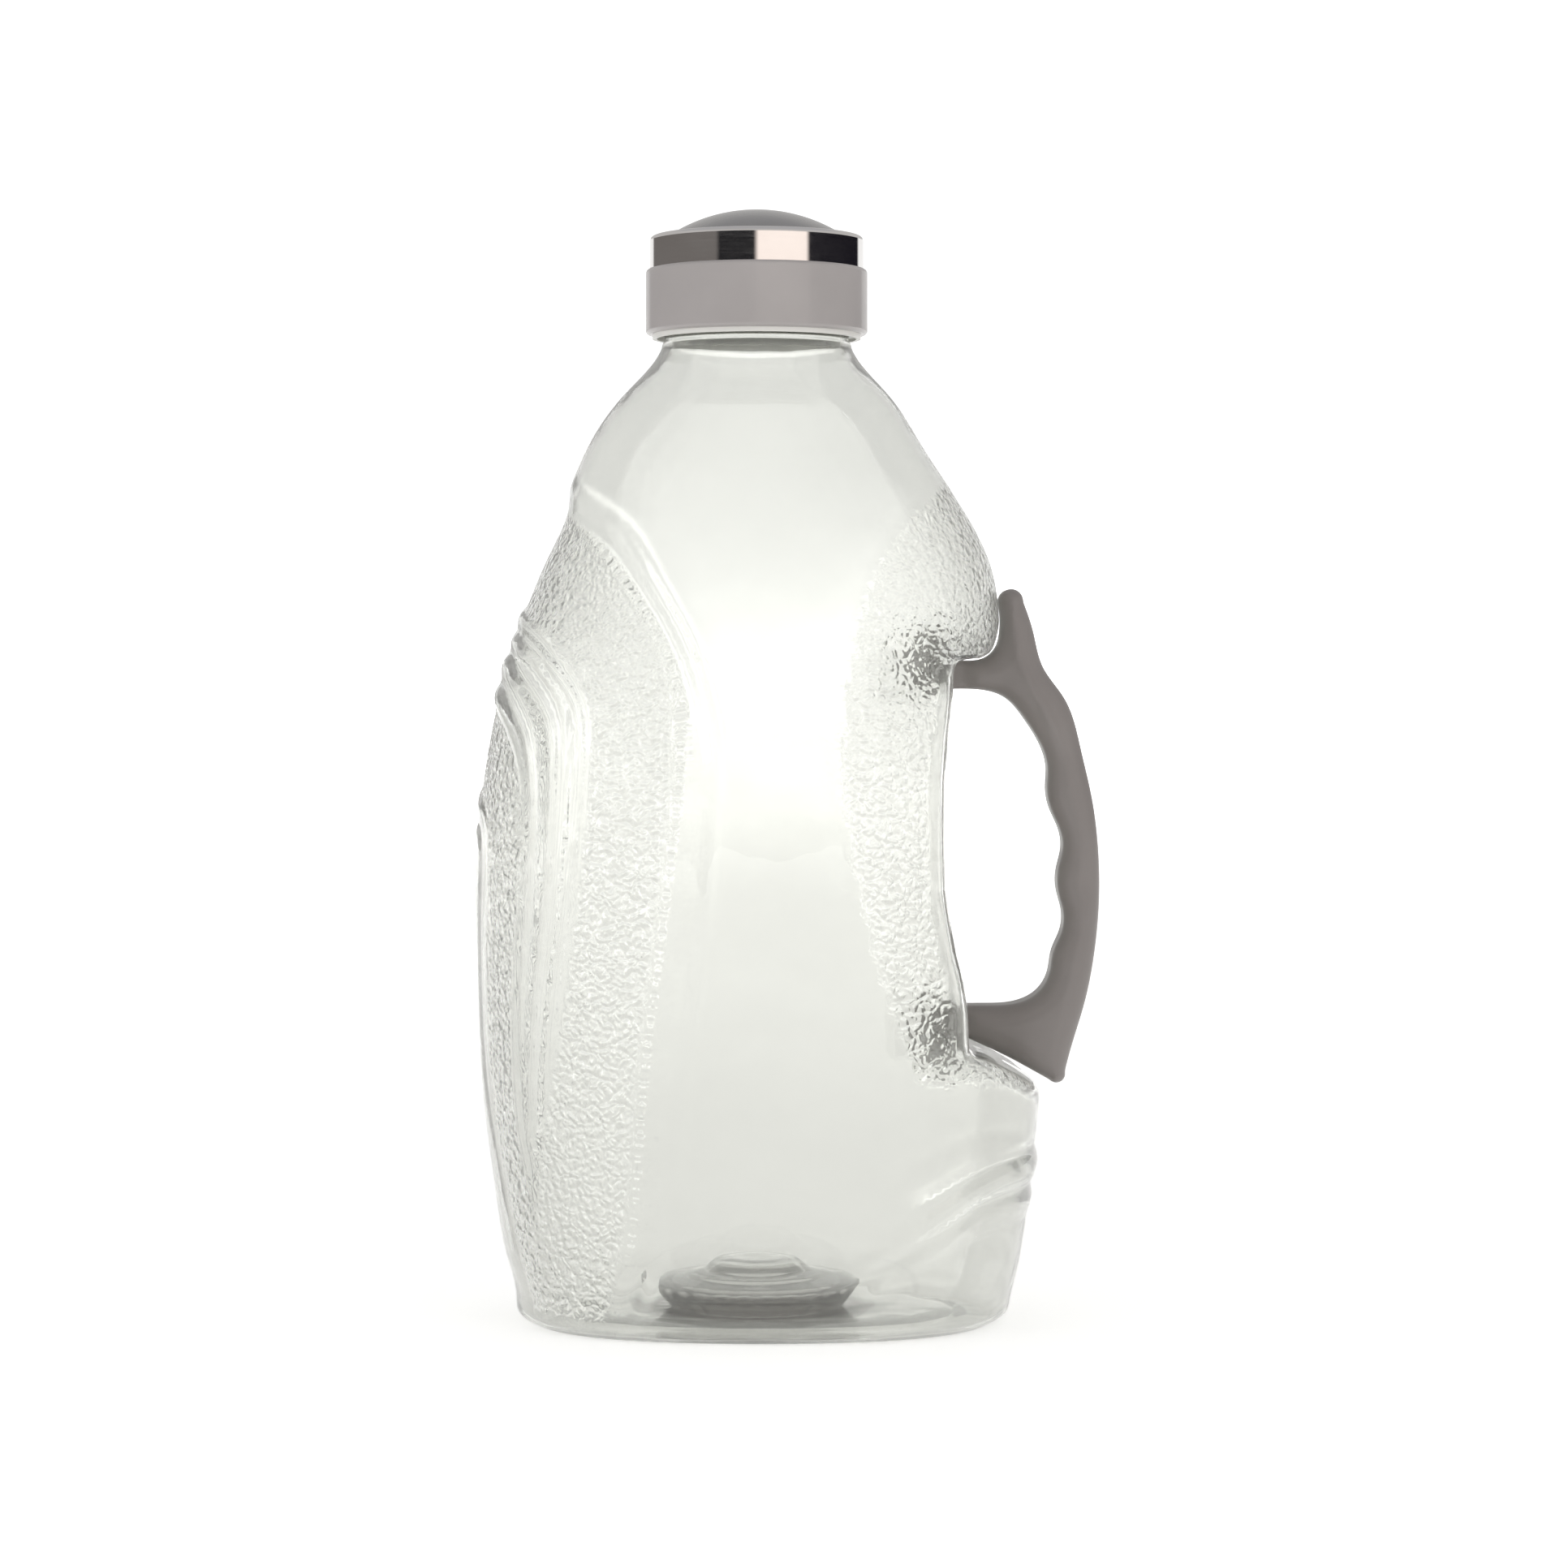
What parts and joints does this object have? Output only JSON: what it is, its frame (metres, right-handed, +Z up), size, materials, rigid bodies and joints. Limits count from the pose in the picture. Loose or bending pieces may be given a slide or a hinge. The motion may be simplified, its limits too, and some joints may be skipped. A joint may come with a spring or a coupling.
{
  "type": "water jug",
  "caption": "Large clear water jug with an oval body, a moulded hand recess, a rigid side handle with finger hollows and a domed screw cap with a metal-look trim ring.",
  "frame": {"origin": "on the neck and cap axis, in the plane that the foot rests on", "axes": "+Z up along the cap axis, +X towards the handle, Y across the jug, symmetric about the XZ plane"},
  "size_m": [0.1691, 0.111, 0.3],
  "materials": {
    "clear_pet": "clear gloss",
    "handle_grey": "satin moulded",
    "cap_grey": "satin gloss",
    "liner_white": "matte moulded",
    "seal_foam": "soft matte",
    "trim_chrome": "polished plating",
    "dome_grey": "high gloss"
  },
  "bodies": {
    "jug": {"bottle": "clear_pet", "handle": "handle_grey"},
    "seal": {"cap_seal": "seal_foam"},
    "cap": {"cap_shell": "cap_grey", "cap_liner": "liner_white", "trim_ring": "trim_chrome", "dome_insert": "dome_grey"}
  },
  "joints": [
    {"name": "cap_lift", "type": "slide", "parent": "jug", "child": "seal", "axis": [0, 0, 1], "range_m": [0, 0.01625]},
    {"name": "cap_turn", "type": "hinge", "parent": "seal", "child": "cap", "pos_m": [0, 0, 0.28], "axis": [0, 0, 1], "range_deg": [0, 1170]}
  ],
  "couplings": [
    {"joint": "cap_lift", "follows": "cap_turn", "m_per_rad": 0.00079577}
  ]
}
